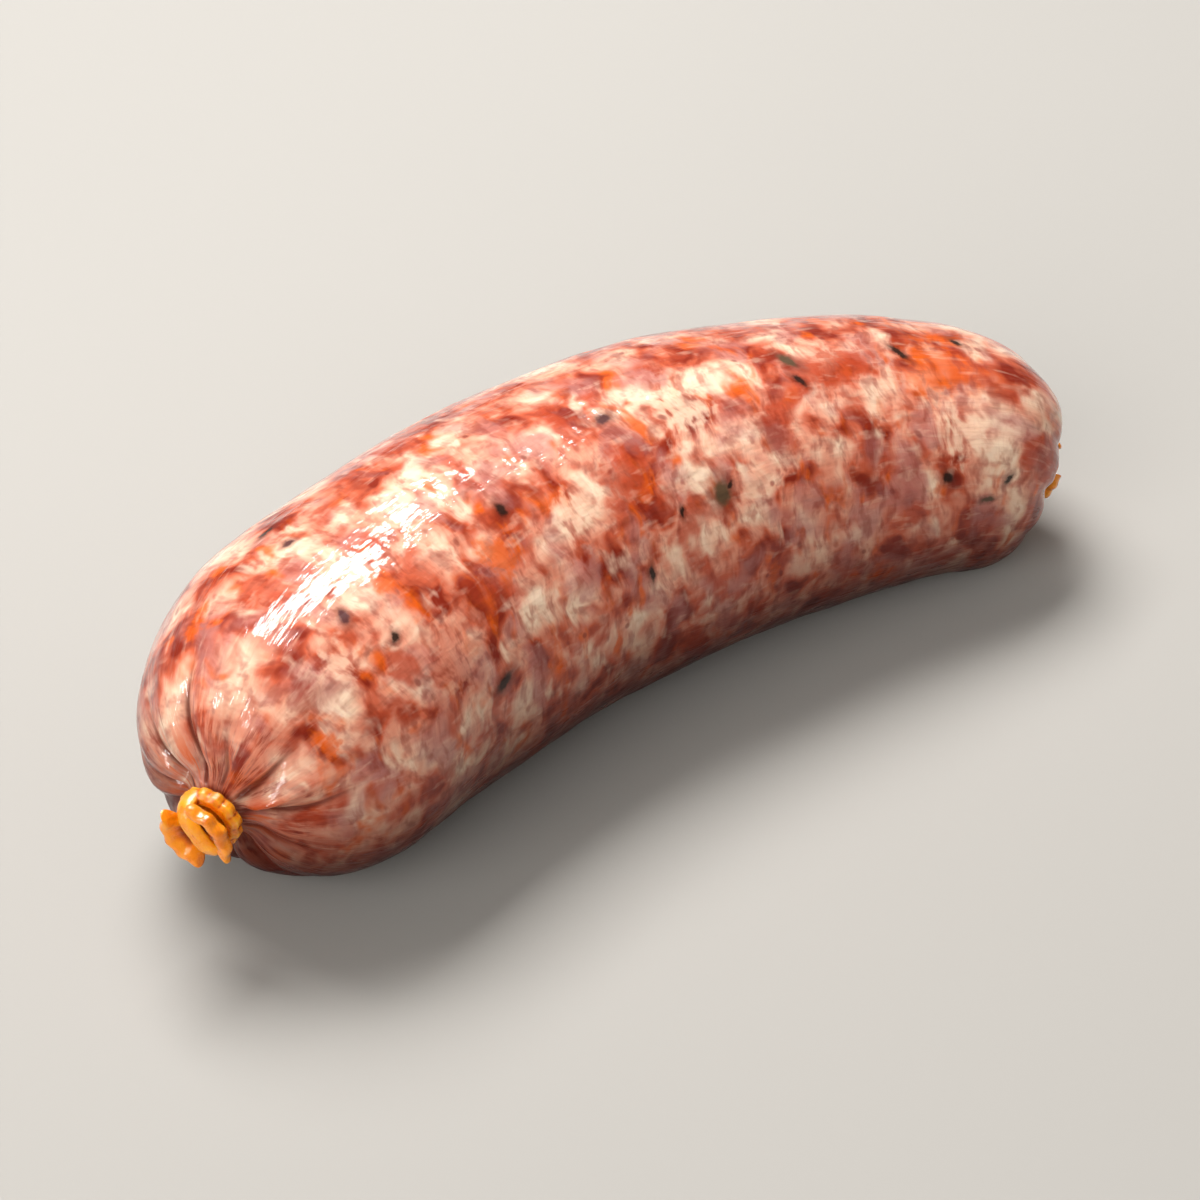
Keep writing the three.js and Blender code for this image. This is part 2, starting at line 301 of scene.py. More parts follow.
def direction(azimuth, elevation):
    """The way from the link to a viewer: azimuth 0 is in front, along -Y."""
    a, e = math.radians(azimuth), math.radians(elevation)
    return Vector((math.sin(a) * math.cos(e), -math.cos(a) * math.cos(e), math.sin(e)))


def make_camera():
    data = bpy.data.cameras.new("camera")
    data.lens = CAMERA["lens"]
    data.sensor_width = CAMERA["sensor"]
    data.clip_start, data.clip_end = CLIP
    camera = bpy.data.objects.new("camera", data)
    back = direction(CAMERA["azimuth"], CAMERA["elevation"])
    camera.location = (Vector(LOOK_AT) + back * CAMERA["distance"]) * MM
    camera.rotation_euler = (-back).to_track_quat("-Z", "Y").to_euler()
    bpy.context.collection.objects.link(camera)
    bpy.context.scene.camera = camera


def make_light(name, spot, seen_in_gloss):
    data = bpy.data.lights.new(name, "AREA")
    data.shape = "RECTANGLE"
    data.size, data.size_y = spot["long"] * MM, spot["wide"] * MM
    data.energy = spot["watts"]
    light = bpy.data.objects.new(name, data)
    towards = Vector(spot["towards"]).normalized()
    light.location = (Vector(LOOK_AT) + towards * spot["distance"]) * MM
    turn = Matrix.Rotation(math.radians(spot.get("turn", 0)), 3, towards)
    light.rotation_euler = (turn @ (-towards).to_track_quat("-Z", "Y").to_matrix()).to_euler()
    light.visible_diffuse = not seen_in_gloss
    light.visible_glossy = seen_in_gloss
    bpy.context.collection.objects.link(light)


def make_studio():
    world = bpy.data.worlds.new("studio")
    world.use_nodes = True
    background = world.node_tree.nodes["Background"]
    background.inputs["Color"].default_value = linear(WORLD["colour"])
    background.inputs["Strength"].default_value = WORLD["strength"]
    bpy.context.scene.world = world
    bpy.context.scene.view_settings.view_transform = "Standard"
    half = FLOOR["size"] / 2
    corners = [(-half, -half, 0), (half, -half, 0), (half, half, 0), (-half, half, 0)]
    floor = make_object("floor", np.array(corners), [(0, 1, 2, 3)])
    surface = Nodes("floor")
    mottle = surface.noise(surface.coordinates("Object"), FLOOR["mottle"], detail=3)
    darker = linear([byte - FLOOR["darker"] for byte in FLOOR["colour"]])
    tone = surface.mix(surface.mask(mottle, 0.3, 0.7), linear(FLOOR["colour"]), darker)
    surface.principled({"Base Color": tone, "Roughness": FLOOR["roughness"], "Specular IOR Level": 0.0})
    floor.data.materials.append(surface.material)
    make_light("key", KEY, seen_in_gloss=False)
    make_light("fill", FILL, seen_in_gloss=False)
    make_light("card", CARD, seen_in_gloss=True)
    make_light("side_card", SIDE_CARD, seen_in_gloss=True)


# Meshes


def make_object(name, points, faces):
    """A mesh object at the origin, from points in millimetres."""
    mesh = bpy.data.meshes.new(name)
    mesh.from_pydata((points * MM).tolist(), [], faces)
    mesh.shade_smooth()
    obj = bpy.data.objects.new(name, mesh)
    bpy.context.collection.objects.link(obj)
    return obj


def set_attribute(obj, name, values):
    kind = "FLOAT" if values.ndim == 1 else "FLOAT_VECTOR"
    attribute = obj.data.attributes.new(name, kind, "POINT")
    attribute.data.foreach_set("value" if values.ndim == 1 else "vector", values.astype(np.float32).ravel())


def grid_faces(rows, columns, closed_rows=False):
    """Quads over a grid whose columns run round and close."""
    faces = []
    for i in range(rows if closed_rows else rows - 1):
        here, following = i * columns, (i + 1) % rows * columns
        for j in range(columns):
            k = (j + 1) % columns
            faces.append((here + j, here + k, following + k, following + j))
    return faces


def closed_faces(rows, columns):
    """Faces over such a grid once its first and last row are each merged into one point."""
    last = (rows - 2) * columns + 1
    faces = []
    for face in grid_faces(rows, columns):
        merged = [min(max(i - (columns - 1), 0), last) for i in face]
        faces.append(tuple(dict.fromkeys(merged)))
    return faces


def unevenness(points, size, seed):
    """Soft noise from -1 to 1 at each point, with features of about that size."""
    offset = seed * Vector(NOISE_STEP)
    return np.array([noise.noise(Vector(p) / size + offset) for p in points.tolist()])


# The spine


def spine_table():
    """The spine's points and heading at even steps of its parameter, with the distance to each."""
    near, far = np.array((-SPAN / 2, 0)), np.array((SPAN / 2, 0))
    towards = {end: math.radians(END_TURN[end]) for end in END_TURN}
    first = near + END_REACH["near"] * np.array((math.cos(towards["near"]), math.sin(towards["near"])))
    second = far + END_REACH["far"] * np.array((-math.cos(towards["far"]), math.sin(towards["far"])))
    t = np.linspace(0, 1, SPINE_STEPS + 1)[:, None]
    left = 1 - t
    points = left**3 * near + 3 * left**2 * t * first + 3 * left * t**2 * second + t**3 * far
    slope = left**2 * (first - near) + 2 * left * t * (second - first) + t**2 * (far - second)
    steps = np.hypot(*np.diff(points, axis=0).T)
    return np.concatenate([[0], np.cumsum(steps)]), points, np.arctan2(slope[:, 1], slope[:, 0])


WALKED, SPINE_POINTS, HEADING = spine_table()
LENGTH = WALKED[-1]


def girth(share):
    left = 1 - share
    a, b, c, d = GIRTH
    return a * left**3 + 3 * b * left**2 * share + 3 * c * left * share**2 + d * share**3


def opening(distance, end):
    """How far a rounded end has opened, from 0 at the neck to 1 where the cap is done."""
    left = 1 - np.clip(distance / CAP[end], 0, 1)
    return (1 - left ** CAP_POWER[end]) ** (1 / CAP_POWER[end])


def smooth_radius(along):
    """The filled casing's radius, before its gathers."""
    return girth(along / LENGTH) * opening(along, "near") * opening(LENGTH - along, "far")


def frame_at(along):
    """The spine's frame at each distance along it: origin, ahead, side and up."""
    along = np.asarray(along, float)
    held = np.clip(along, DIMPLE["near"], LENGTH - DIMPLE["far"])
    heading = np.interp(held, WALKED, HEADING)
    near_sunk = np.maximum(0, 1 - held / DROOP["over"])
    far_sunk = np.maximum(0, 1 - (LENGTH - held) / DROOP["over"])
    height = girth(held / LENGTH) - SAG - DROOP["near"] * near_sunk**2 - DROOP["far"] * far_sunk**2
    slope = 2 * (DROOP["near"] * near_sunk - DROOP["far"] * far_sunk) / DROOP["over"]
    x = np.interp(held, WALKED, SPINE_POINTS[:, 0]) - MIDDLE[0]
    y = np.interp(held, WALKED, SPINE_POINTS[:, 1]) - MIDDLE[1]
    ahead = np.stack([np.cos(heading), np.sin(heading), slope], -1)
    ahead /= np.linalg.norm(ahead, axis=-1, keepdims=True)
    side = np.stack([-np.sin(heading), np.cos(heading), np.zeros_like(heading)], -1)
    origin = np.stack([x, y, height], -1) + ahead * (along - held)[..., None]
    return origin, ahead, side, np.cross(ahead, side)


def place(along, sideways, upwards):
    origin, _, side, up = frame_at(along)
    points = origin + side * sideways[..., None] + up * upwards[..., None]
    points[..., 2] = np.maximum(points[..., 2], 0)
    return points


# Places in the photograph


@functools.cache
def smooth_link():
    """The filled casing without its gathers, for rays to meet."""
    ends = np.linspace(0, LENGTH, FINDER["rows"] + 1)
    around = np.linspace(0, 2 * np.pi, FINDER["columns"], endpoint=False)
    along, angle = np.meshgrid(ends, around, indexing="ij")
    radius = smooth_radius(along)
    points = place(along, radius * np.sin(angle), radius * np.cos(angle)).reshape(-1, 3)
    return BVHTree.FromPolygons(points.tolist(), grid_faces(*along.shape))


def shown_at(pixel):
    """The place on the link, as (along, angle), that shows at a pixel of the photograph."""
    back = direction(CAMERA["azimuth"], CAMERA["elevation"])
    right, down = (pixel[k] - VIEW["middle"][k] for k in (0, 1))
    ahead = CAMERA["lens"] / CAMERA["sensor"] * VIEW["width"]
    ray = (-back).to_track_quat("-Z", "Y") @ Vector((right, -down, -ahead))
    _, _, face, _ = smooth_link().ray_cast(Vector(LOOK_AT) + back * CAMERA["distance"], ray)
    row, column = divmod(face, FINDER["columns"])
    return (row + 0.5) * LENGTH / FINDER["rows"], (column + 0.5) * 360 / FINDER["columns"]


# The link's rows, each (radius, along)


def body_rows():
    along = LENGTH * (1 - np.cos(np.pi * np.linspace(0, 1, PROFILE_STEPS + 1))) / 2
    radius = smooth_radius(along)
    near = along < LENGTH / 2
    neck = NECK["radius"] * np.where(near, TIE_SCALE["near"], TIE_SCALE["far"])
    radius = np.maximum(radius, neck)
    dimple = np.where(near, DIMPLE["near"], -DIMPLE["far"])
    profile = np.stack([radius, along + dimple * np.exp(-(((radius - neck) / DIMPLE["reach"]) ** 2))], 1)
    walk = np.concatenate([[0], np.cumsum(np.hypot(*np.diff(profile, axis=0).T))])
    share = np.linspace(0, 1, BODY_ROWS + 1)
    wanted = (share - CROWDING * np.sin(2 * np.pi * share)) * walk[-1]
    return np.stack([np.interp(wanted, walk, profile[:, k]) for k in (0, 1)], 1)


def smooth_curve(points, steps):
    """A curve through the points with that many steps between neighbours."""
    points = np.array(points, float)
    padded = np.vstack([2 * points[0] - points[1], points, 2 * points[-1] - points[-2]])
    t = np.linspace(0, 1, steps, endpoint=False)[:, None]
    pieces = []
    for a, b, c, d in zip(padded, padded[1:], padded[2:], padded[3:]):
        square, cube = 2 * a - 5 * b + 4 * c - d, 3 * b - a - 3 * c + d
        pieces.append(0.5 * (2 * b + (c - a) * t + square * t**2 + cube * t**3))
    return np.vstack([*pieces, points[-1]])


def foot(end):
    """Where a casing end starts, and how far one unit of "out" carries along the spine."""
    if end == "near":
        return DIMPLE["near"], -TIE_SCALE["near"]
    return LENGTH - DIMPLE["far"], TIE_SCALE["far"]


def casing_end_rows(end):
    start, outward = foot(end)
    wall = smooth_curve([*CASING_END, (NECK["radius"], NECK["length"])], END_STEPS)
    rows = np.stack([np.abs(wall[:, 0]) * TIE_SCALE[end], start + wall[:, 1] * outward], 1)
    return rows if end == "near" else rows[::-1]


# The gathers


def turn_between(angle, middle):
    """The angle between two directions round the link, never more than half a turn."""
    return np.abs(np.mod(angle - math.radians(middle) + np.pi, 2 * np.pi) - np.pi)


def across(angle, middle, radius, width):
    """How much a crease is felt at an angle: one at its middle, less with the distance round the link."""
    off = turn_between(angle, middle) * radius
    soft = PLEAT["soft"]
    return np.exp(-(np.sqrt(off**2 + soft**2) - soft) / width)


def lengthwise(walk, length):
    """How much it is felt this far from the neck: it rises within a short start, then dies away."""
    return smoothstep(walk, 0, PLEAT["start"]) * np.maximum(0, 1 - walk / length) ** PLEAT["fade"]


def each_pleat(end):
    """The middle, length and depth of each pleat of an end."""
    for i, middle in enumerate(PLEATS[end]):
        share = (i * GOLDEN + FIRST_SHARE) % 1
        length = PLEAT[end]["shortest"] + (PLEAT[end]["longest"] - PLEAT[end]["shortest"]) * share
        least = PLEAT["shallowest"]
        yield middle, length, PLEAT[end]["deepest"] * (least + (1 - least) * share)


def wandering(angle, walk, middle):
    """The angle as a pleat feels it, so that its line isn't quite straight."""
    return angle + PLEAT["wander"] * np.sin(walk / PLEAT["wave"] + middle)


def pleats(end, angle, radius, walk):
    depth = np.zeros_like(walk)
    for middle, length, deep in each_pleat(end):
        felt = across(wandering(angle, walk, middle), middle, radius, PLEAT["width"])
        depth += deep * lengthwise(walk, length) * felt
    return depth


def painted_crease_shade_lines(end, angle, radius, walk):
    """The painted shade in the bottom of each pleat, as a thin dark line: one along its middle, less away
    from it.
    """
    darkest = np.zeros_like(walk)
    for middle, length, deep in each_pleat(end):
        off = turn_between(wandering(angle, walk, middle), middle) * radius
        started = smoothstep(walk, 0, CREASE_LINE["start"])
        ended = smoothstep(walk, CREASE_LINE["from"] * length, length)
        strength = deep / PLEAT[end]["deepest"] * (started * (1 - ended))
        darkest = np.maximum(darkest, strength * np.exp(-((off / CREASE_LINE["width"]) ** 2)))
    return darkest


def fold(end, angle, radius, walk):
    if end == "far":
        return np.zeros_like(walk)
    return lengthwise(walk, FOLD["length"]) * across(angle, FOLD["angle"], radius, FOLD["width"])


def swelling(end, angle, walk):
    """The casing swells between neighbouring pleats."""
    edges = np.append(np.array(PLEATS[end]) - PLEATS[end][0], 360)
    degrees = np.mod(np.degrees(angle) - PLEATS[end][0], 360)
    k = np.clip(np.searchsorted(edges, degrees, side="right") - 1, 0, len(PLEATS[end]) - 1)
    share = (degrees - edges[k]) / (edges[k + 1] - edges[k])
    return SWELL["height"] * np.sin(np.pi * share) * lengthwise(walk, SWELL["length"])


def wrinkles(angle, walk):
    """Fine gathers that run out from the neck."""
    sway = WRINKLE["sway"][0] * np.sin(3 * angle) + WRINKLE["sway"][1] * np.sin(5 * angle)
    length = WRINKLE["length"] * (1 + WRINKLE["uneven"] * np.sin(4 * angle))
    fading = np.maximum(0, 1 - walk / length) * smoothstep(walk, 0, WRINKLE["start"])
    return WRINKLE["height"] * np.cos(WRINKLE["count"] * angle + sway) * fading


def lumps(along, angle):
    long, longest, short = LUMP["waves"]
    broad = np.sin(along / long + 2 * np.sin(angle)) * np.cos(2 * angle + along / longest)
    return LUMP["height"] * (broad + LUMP["finer"] * np.sin(along / short - 3 * angle))


def squeezed(end, radius, along, angle):
    """The casing end is squeezed narrow and short under the strand, and flares on both sides of it."""
    start, outward = foot(end)
    scale = TIE_SCALE[end]
    out = (along - start) / outward
    flare = smoothstep(out, NECK["length"], NECK["length"] + SQUEEZE["flare"])
    ruffled = radius * (1 + RUFFLE * flare * np.cos(RUFFLES * angle))
    strand_angle = math.radians(STRAND_ANGLE[end])
    aside = ruffled * np.sin(angle - strand_angle)
    under = 1 - smoothstep(np.abs(aside) / scale, SQUEEZE["from"], SQUEEZE["to"])
    with_strand = ruffled * np.cos(angle - strand_angle) * (1 - SQUEEZE["width"] * under * flare)
    shortened = 1 - SQUEEZE["height"] * under * np.minimum(radius / scale / SQUEEZE["within"], 1)
    along = start + (NECK["length"] + (out - NECK["length"]) * shortened) * outward
    return np.hypot(aside, with_strand), strand_angle + np.arctan2(aside, with_strand), along


class LinkSurface:
    """The link's rows as a grid of radius, along and angle, with what its colours need to know."""

    def __init__(self):
        parts = [casing_end_rows("near"), body_rows(), casing_end_rows("far")]
        self.rows = np.vstack(parts)
        self.zones = np.repeat((-1, 0, 1), [len(part) for part in parts])
        self.radius = np.repeat(self.rows[:, :1], SEGMENTS, 1)
        self.along = np.repeat(self.rows[:, 1:], SEGMENTS, 1)
        turn = -np.pi + 2 * np.pi * np.arange(SEGMENTS) / SEGMENTS
        self.angle = np.repeat(turn[None], len(self.rows), 0)
        steps = np.hypot(*np.diff(self.rows, axis=0).T)
        walked = np.concatenate([[0], np.cumsum(steps)])
        walked_here = np.repeat(walked[:, None], SEGMENTS, 1)
        self.around = np.stack([walked_here, np.sin(self.angle), np.cos(self.angle)], -1)
        self.painted_relief_shading = np.zeros_like(self.radius)
        self.ridge = np.zeros_like(self.radius)
        self.gather = np.zeros_like(self.radius)
        for end in ("near", "far"):
            self.gather_body(end)
            self.shape_casing_end(end)

    def gather_body(self, end):
        slope = np.gradient(self.rows, axis=0)
        slope /= np.linalg.norm(slope, axis=1, keepdims=True) + 1e-9
        inner = np.flatnonzero(self.zones == 0)[1:-1]
        chosen = inner[(self.rows[inner, 1] < LENGTH / 2) == (end == "near")]
        radius, along, angle = self.radius[chosen], self.along[chosen], self.angle[chosen]
        walk = np.hypot(along if end == "near" else LENGTH - along, radius) - NECK["radius"]
        creased = pleats(end, angle, radius, walk)
        raised = fold(end, angle, radius, walk)
        filled = smoothstep(radius, NECK["radius"], GIRTH[3])
        out = filled * lumps(along, angle) - creased + FOLD["height"] * raised
        out += swelling(end, angle, walk) + wrinkles(angle, walk)
        self.radius[chosen] = radius + out * slope[chosen, 1][:, None]
        self.along[chosen] = along - out * slope[chosen, 0][:, None]
        # Painted shade along the bottom of each pleat
        self.painted_relief_shading[chosen] = painted_crease_shade_lines(end, angle, radius, walk)
        self.ridge[chosen] = raised
        self.gather[chosen] = 1 - smoothstep(walk, 0, GATHERED[end])

    def shape_casing_end(self, end):
        beyond = np.flatnonzero(self.zones == (-1 if end == "near" else 1))
        start, outward = foot(end)
        out = (self.along[beyond] - start) / outward
        inside = np.arange(len(beyond)) < RIM_POINT * END_STEPS
        inside = inside if end == "near" else inside[::-1]
        # Painted shade in the hollow, darkest at its floor
        self.painted_relief_shading[beyond] = np.where(inside[:, None], 1 - smoothstep(out, *HOLLOW_SHADE), 0)
        radius, angle, along = squeezed(end, self.radius[beyond], self.along[beyond], self.angle[beyond])
        self.radius[beyond], self.angle[beyond], self.along[beyond] = radius, angle, along

    def straight(self):
        """The surface as if the spine were straight, in millimetres."""
        across_it, up_it = self.radius * np.sin(self.angle), self.radius * np.cos(self.angle)
        return np.stack([self.along, across_it, up_it], -1).reshape(-1, 3)

    def roughen(self):
        """The filling presses grains into the casing, and the casing ends are crumpled."""
        filled = smoothstep(self.radius, NECK["radius"], GIRTH[3]) * (self.zones == 0)[:, None]
        loose = smoothstep(self.radius, CRUMPLE["from"], CRUMPLE["to"]) * (self.zones != 0)[:, None]
        straight = self.straight()
        grain = unevenness(straight, GRAIN["size"], GRAIN["seed"]).reshape(self.radius.shape)
        crumple = unevenness(straight, CRUMPLE["size"], CRUMPLE["seed"]).reshape(self.radius.shape)
        self.radius = self.radius + GRAIN["height"] * grain * filled + CRUMPLE["height"] * crumple * loose


def make_link(casing, orange):
    surface = LinkSurface()
    straight = surface.straight()
    surface.roughen()
    across_it, up_it = surface.radius * np.sin(surface.angle), surface.radius * np.cos(surface.angle)
    points = place(surface.along, across_it, up_it).reshape(-1, 3)
    # One point of the first row and one of the last are kept, because each of those rows is a single place.
    kept = slice(SEGMENTS - 1, 1 - SEGMENTS)
    link = make_object("link_casing", points[kept], closed_faces(len(surface.rows), SEGMENTS))
    set_attribute(link, "straight", straight[kept])
    set_attribute(link, "around", surface.around.reshape(-1, 3)[kept])
    for name in ("painted_relief_shading", "ridge", "gather"):
        set_attribute(link, name, getattr(surface, name).ravel()[kept])
    link.data.materials.append(casing)
    link.data.materials.append(orange)
    beyond = surface.zones != 0
    orange_faces = np.repeat(beyond[:-1] | beyond[1:], SEGMENTS)
    link.data.polygons.foreach_set("material_index", orange_faces.astype(np.int32))
    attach(link, "root")
    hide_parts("link")


# The ties


def band_shape():
    """A rounded section round the X axis, creased into ribs where it is gathered."""
    inner, outer, start, end, round_by = (BAND[key] for key in ("inner", "outer", "from", "to", "round"))
    corner = outer - round_by
    rounded = [(corner, start), (outer, start + round_by), (outer, end - round_by), (corner, end)]
    section = np.array([(inner, start), *rounded, (inner, end)])
    angle = 2 * np.pi * np.arange(BAND_SEGMENTS) / BAND_SEGMENTS
    lobes = 2 * np.abs(np.cos(BAND_RIBS * angle / 2 + RIB_SWAY * np.sin(2 * angle))) - 1
    radius = section[:, :1] * (1 + RIB * smoothstep(section[:, :1], inner, outer) * lobes[None])
    along = np.repeat(section[:, 1:], BAND_SEGMENTS, 1)
    points = np.stack([along, radius * np.sin(angle), radius * np.cos(angle)], -1).reshape(-1, 3)
    return points, grid_faces(len(section), BAND_SEGMENTS, closed_rows=True)


def strand_shape():
    """An oval strand in the XZ plane, out of the band, over the casing end and back into the band."""
    side, top = STRAND["side"], STRAND["top"]
    root = (BAND["from"] + BAND["to"]) / 2
    shoulder = (side - STRAND_ARCH["inwards"], top - STRAND_ARCH["shoulder"])
    crown = (side * STRAND_ARCH["crown"], top - STRAND_ARCH["crown_drop"])
    half = [(side, root), (side, root + STRAND_ARCH["straight"]), shoulder, crown]
    outline = [*half, (0, top), *[(-z, x) for z, x in reversed(half)]]
    arch = smooth_curve(outline, STRAND_STEPS // (len(outline) - 1))
    path = np.stack([arch[:, 1], 0 * arch[:, 0], arch[:, 0]], 1)
    ahead = np.gradient(path, axis=0)
    ahead /= np.linalg.norm(ahead, axis=1, keepdims=True)
    wide = np.array((0, 1.0, 0))
    thick = np.cross(ahead, wide)
    turn = 2 * np.pi * np.arange(STRAND_SIDES) / STRAND_SIDES
    grooved = 1 - STRAND_GROOVE * np.abs(np.sin(3 * turn))
    across_it = STRAND["width"] / 2 * np.cos(turn) * grooved
    through_it = STRAND["thickness"] / 2 * np.sin(turn) * grooved
    points = path[:, None] + across_it[None, :, None] * wide + through_it[None, :, None] * thick[:, None]
    faces = grid_faces(len(path), STRAND_SIDES)
    faces.append(tuple(range(STRAND_SIDES)))
    faces.append(tuple(len(path) * STRAND_SIDES - 1 - i for i in range(STRAND_SIDES)))
    return points.reshape(-1, 3), faces


def tie_mesh():
    """The band and strand as one skin: points, faces, outward normals and how creased each point is, for
    painted shade in creases and painted light on ridges.
    """
    (points, faces), (more_points, more_faces) = band_shape(), strand_shape()
    both = np.vstack([points, more_points])
    shifted = [tuple(i + len(points) for i in face) for face in more_faces]
    rough = make_object("rough_tie", both / MM, faces + shifted)
    remesh = rough.modifiers.new("remesh", "REMESH")
    remesh.mode = "VOXEL"
    remesh.voxel_size = TIE_VOXEL
    smooth = rough.modifiers.new("smooth", "SMOOTH")
    smooth.iterations = TIE_SMOOTHING["skin"]
    skin, faces = evaluated(rough)
    smooth.iterations = TIE_SMOOTHING["blurred"]
    blurred, _ = evaluated(rough)
    bpy.data.objects.remove(rough)
    outward = outward_normals(skin, faces)
    # Positive in creases for painted shade, negative on ridges for painted light
    painted_relief_shading = np.clip(((blurred - skin) * outward).sum(1) / TIE_CREASE, -1, 1)
    return skin, faces, outward, painted_relief_shading


def evaluated(obj):
    """An object's points and faces with its modifiers applied."""
    mesh = obj.evaluated_get(bpy.context.evaluated_depsgraph_get()).to_mesh()
    points = np.empty(len(mesh.vertices) * 3)
    mesh.vertices.foreach_get("co", points)
    return points.reshape(-1, 3), [tuple(face.vertices) for face in mesh.polygons]


def outward_normals(points, faces):
    mesh = bpy.data.meshes.new("normals")
    mesh.from_pydata(points.tolist(), [], faces)
    normals = np.empty(len(points) * 3)
    mesh.vertices.foreach_get("normal", normals)
    bpy.data.meshes.remove(mesh)
    return normals.reshape(-1, 3)


def make_ties(orange):
    skin, faces, outward, painted_relief_shading = tie_mesh()
    for end, seed in TIE_SEED.items():
        start, _ = foot(end)
        origin, ahead, side, up = frame_at(start)
        way = -1 if end == "near" else 1
        basis = np.array([way * ahead, way * side, up])
        lean = Matrix.Rotation(math.radians(-way * STRAND_ANGLE[end]), 3, "X")
        dents = sum(height * unevenness(skin, size, seed) for height, size in TIE_DENTS)
        crumpled = skin + outward * dents[:, None]
        points = origin + TIE_SCALE[end] * crumpled @ np.array(lean).T @ basis
        tie = make_object(f"{end}_tie_wound", points, faces)
        set_attribute(tie, "straight", crumpled)
        set_attribute(tie, "painted_relief_shading", painted_relief_shading)
        tie.data.materials.append(orange)
        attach(tie, "root")
        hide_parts(f"{end}_tie")


# Materials


class Nodes:
    """A material whose nodes are laid out by short calls, each of which gives back a socket."""

    def __init__(self, name):
        self.material = bpy.data.materials.new(name)
        self.material.use_nodes = True
        self.tree = self.material.node_tree
        self.tree.nodes.clear()

    def add(self, kind, inputs, **settings):
        node = self.tree.nodes.new(kind)
        for key, value in settings.items():
            setattr(node, key, value)
        for socket, value in inputs.items():
            if isinstance(value, bpy.types.NodeSocket):
                self.tree.links.new(value, node.inputs[socket])
            else:
                node.inputs[socket].default_value = value
        return node

    def attribute(self, name, output="Vector"):
        return self.add("ShaderNodeAttribute", {}, attribute_name=name).outputs[output]

    def coordinates(self, output):
        return self.add("ShaderNodeTexCoord", {}).outputs[output]

    def vector(self, operation, *values):
        node = self.add("ShaderNodeVectorMath", dict(enumerate(values)), operation=operation)
        return node.outputs["Value" if operation in ("LENGTH", "DOT_PRODUCT") else "Vector"]

    def math(self, operation, *values):
        return self.add("ShaderNodeMath", dict(enumerate(values)), operation=operation).outputs[0]

    def noise(self, vector, scale, detail=4.0, roughness=0.55, output=0):
        inputs = {"Vector": vector, "Scale": scale, "Detail": detail, "Roughness": roughness}
        return self.add("ShaderNodeTexNoise", inputs).outputs[output]

    def cells(self, vector, scale, output):
        inputs = {"Vector": vector, "Scale": scale}
        return self.add("ShaderNodeTexVoronoi", inputs, feature="F1").outputs[output]

    def parts(self, colour):
        return self.add("ShaderNodeSeparateColor", {0: colour}).outputs

    def mask(self, value, low, high, to_low=0.0, to_high=1.0):
        inputs = {0: value, 1: low, 2: high, 3: to_low, 4: to_high}
        return self.add("ShaderNodeMapRange", inputs, interpolation_type="SMOOTHSTEP").outputs[0]

    def mix(self, share, first, second, blend="MIX"):
        inputs = {0: share, 6: first, 7: second}
        return self.add("ShaderNodeMix", inputs, data_type="RGBA", blend_type=blend).outputs[2]

    def ramp(self, value, stops):
        node = self.add("ShaderNodeValToRGB", {0: value})
        elements = node.color_ramp.elements
        while len(elements) < len(stops):
            elements.new(0.5)
        for element, (position, colour) in zip(elements, stops):
            element.position = position
            element.color = linear(colour)
        return node.outputs[0]

    def warped(self, vector, scale, amount, detail=2.0):
        """The vector, moved about by soft noise of that scale."""
        away = self.vector("SUBTRACT", self.noise(vector, scale, detail=detail, output=1), (0.5, 0.5, 0.5))
        return self.vector("MULTIPLY_ADD", away, (amount, amount, amount), vector)

    def bump(self, height, distance, normal=None):
        inputs = {"Height": height, "Distance": distance * MM, "Strength": 1.0}
        if normal:
            inputs["Normal"] = normal
        return self.add("ShaderNodeBump", inputs).outputs[0]

    def blob(self, vector, along, angle, length, width, slant):
        """A soft oval on the casing: one in its middle, nought from its edge outwards."""
        phi = math.radians(angle)
        radius = float(smooth_radius(along))
        ahead = Vector((1, 0, 0))
        outward = Vector((0, math.sin(phi), math.cos(phi)))
        turned = Matrix.Rotation(math.radians(slant), 3, outward) @ ahead
        basis = Matrix((turned, outward.cross(turned), outward)).transposed()
        inputs = {
            "Vector": vector,
            "Location": (along, radius * outward.y, radius * outward.z),
            "Rotation": basis.to_euler(),
            "Scale": (length, width, max(length, BLOB_DEPTH)),
        }
        local = self.add("ShaderNodeMapping", inputs, vector_type="TEXTURE").outputs[0]
        return self.math("SUBTRACT", 1.0, self.vector("LENGTH", local))

    def principled(self, inputs):
        shader = self.add("ShaderNodeBsdfPrincipled", inputs)
        self.add("ShaderNodeOutputMaterial", {0: shader.outputs[0]})


def meat_colour(nodes, bent, round_it):
    """Coarse meat and fat seen through the casing, in soft blotches."""
    value = nodes.noise(bent, MEAT_NOISE["scale"], MEAT_NOISE["detail"], MEAT_NOISE["roughness"])
    colour = nodes.ramp(value, MEAT_BASE)
    for tone, shift, drawn_round, scale, roughness, low, high, share in MEAT_LAYERS:
        start = nodes.vector("ADD", round_it if drawn_round else bent, shift)
        layer = nodes.noise(start, scale, MEAT_NOISE["detail"], roughness)
        colour = nodes.mix(nodes.mask(layer, low, high, 0, share), colour, linear(tone))
    return colour


def patched(nodes, colour, straight, streak):
    """Stains and fat patches with torn edges."""
    torn = nodes.warped(straight, *TORN, detail=4.0)
    ragged = nodes.math("SUBTRACT", streak, 0.5)
    for pixel, length, width, slant, tone, strength in PATCHES:
        spot = nodes.blob(torn, *shown_at(pixel), length, width, slant)
        inside = nodes.math("MULTIPLY_ADD", ragged, PATCH_RAGGED, spot)
        colour = nodes.mix(nodes.mask(inside, *PATCH_EDGE, 0, strength), colour, linear(tone))
    return colour


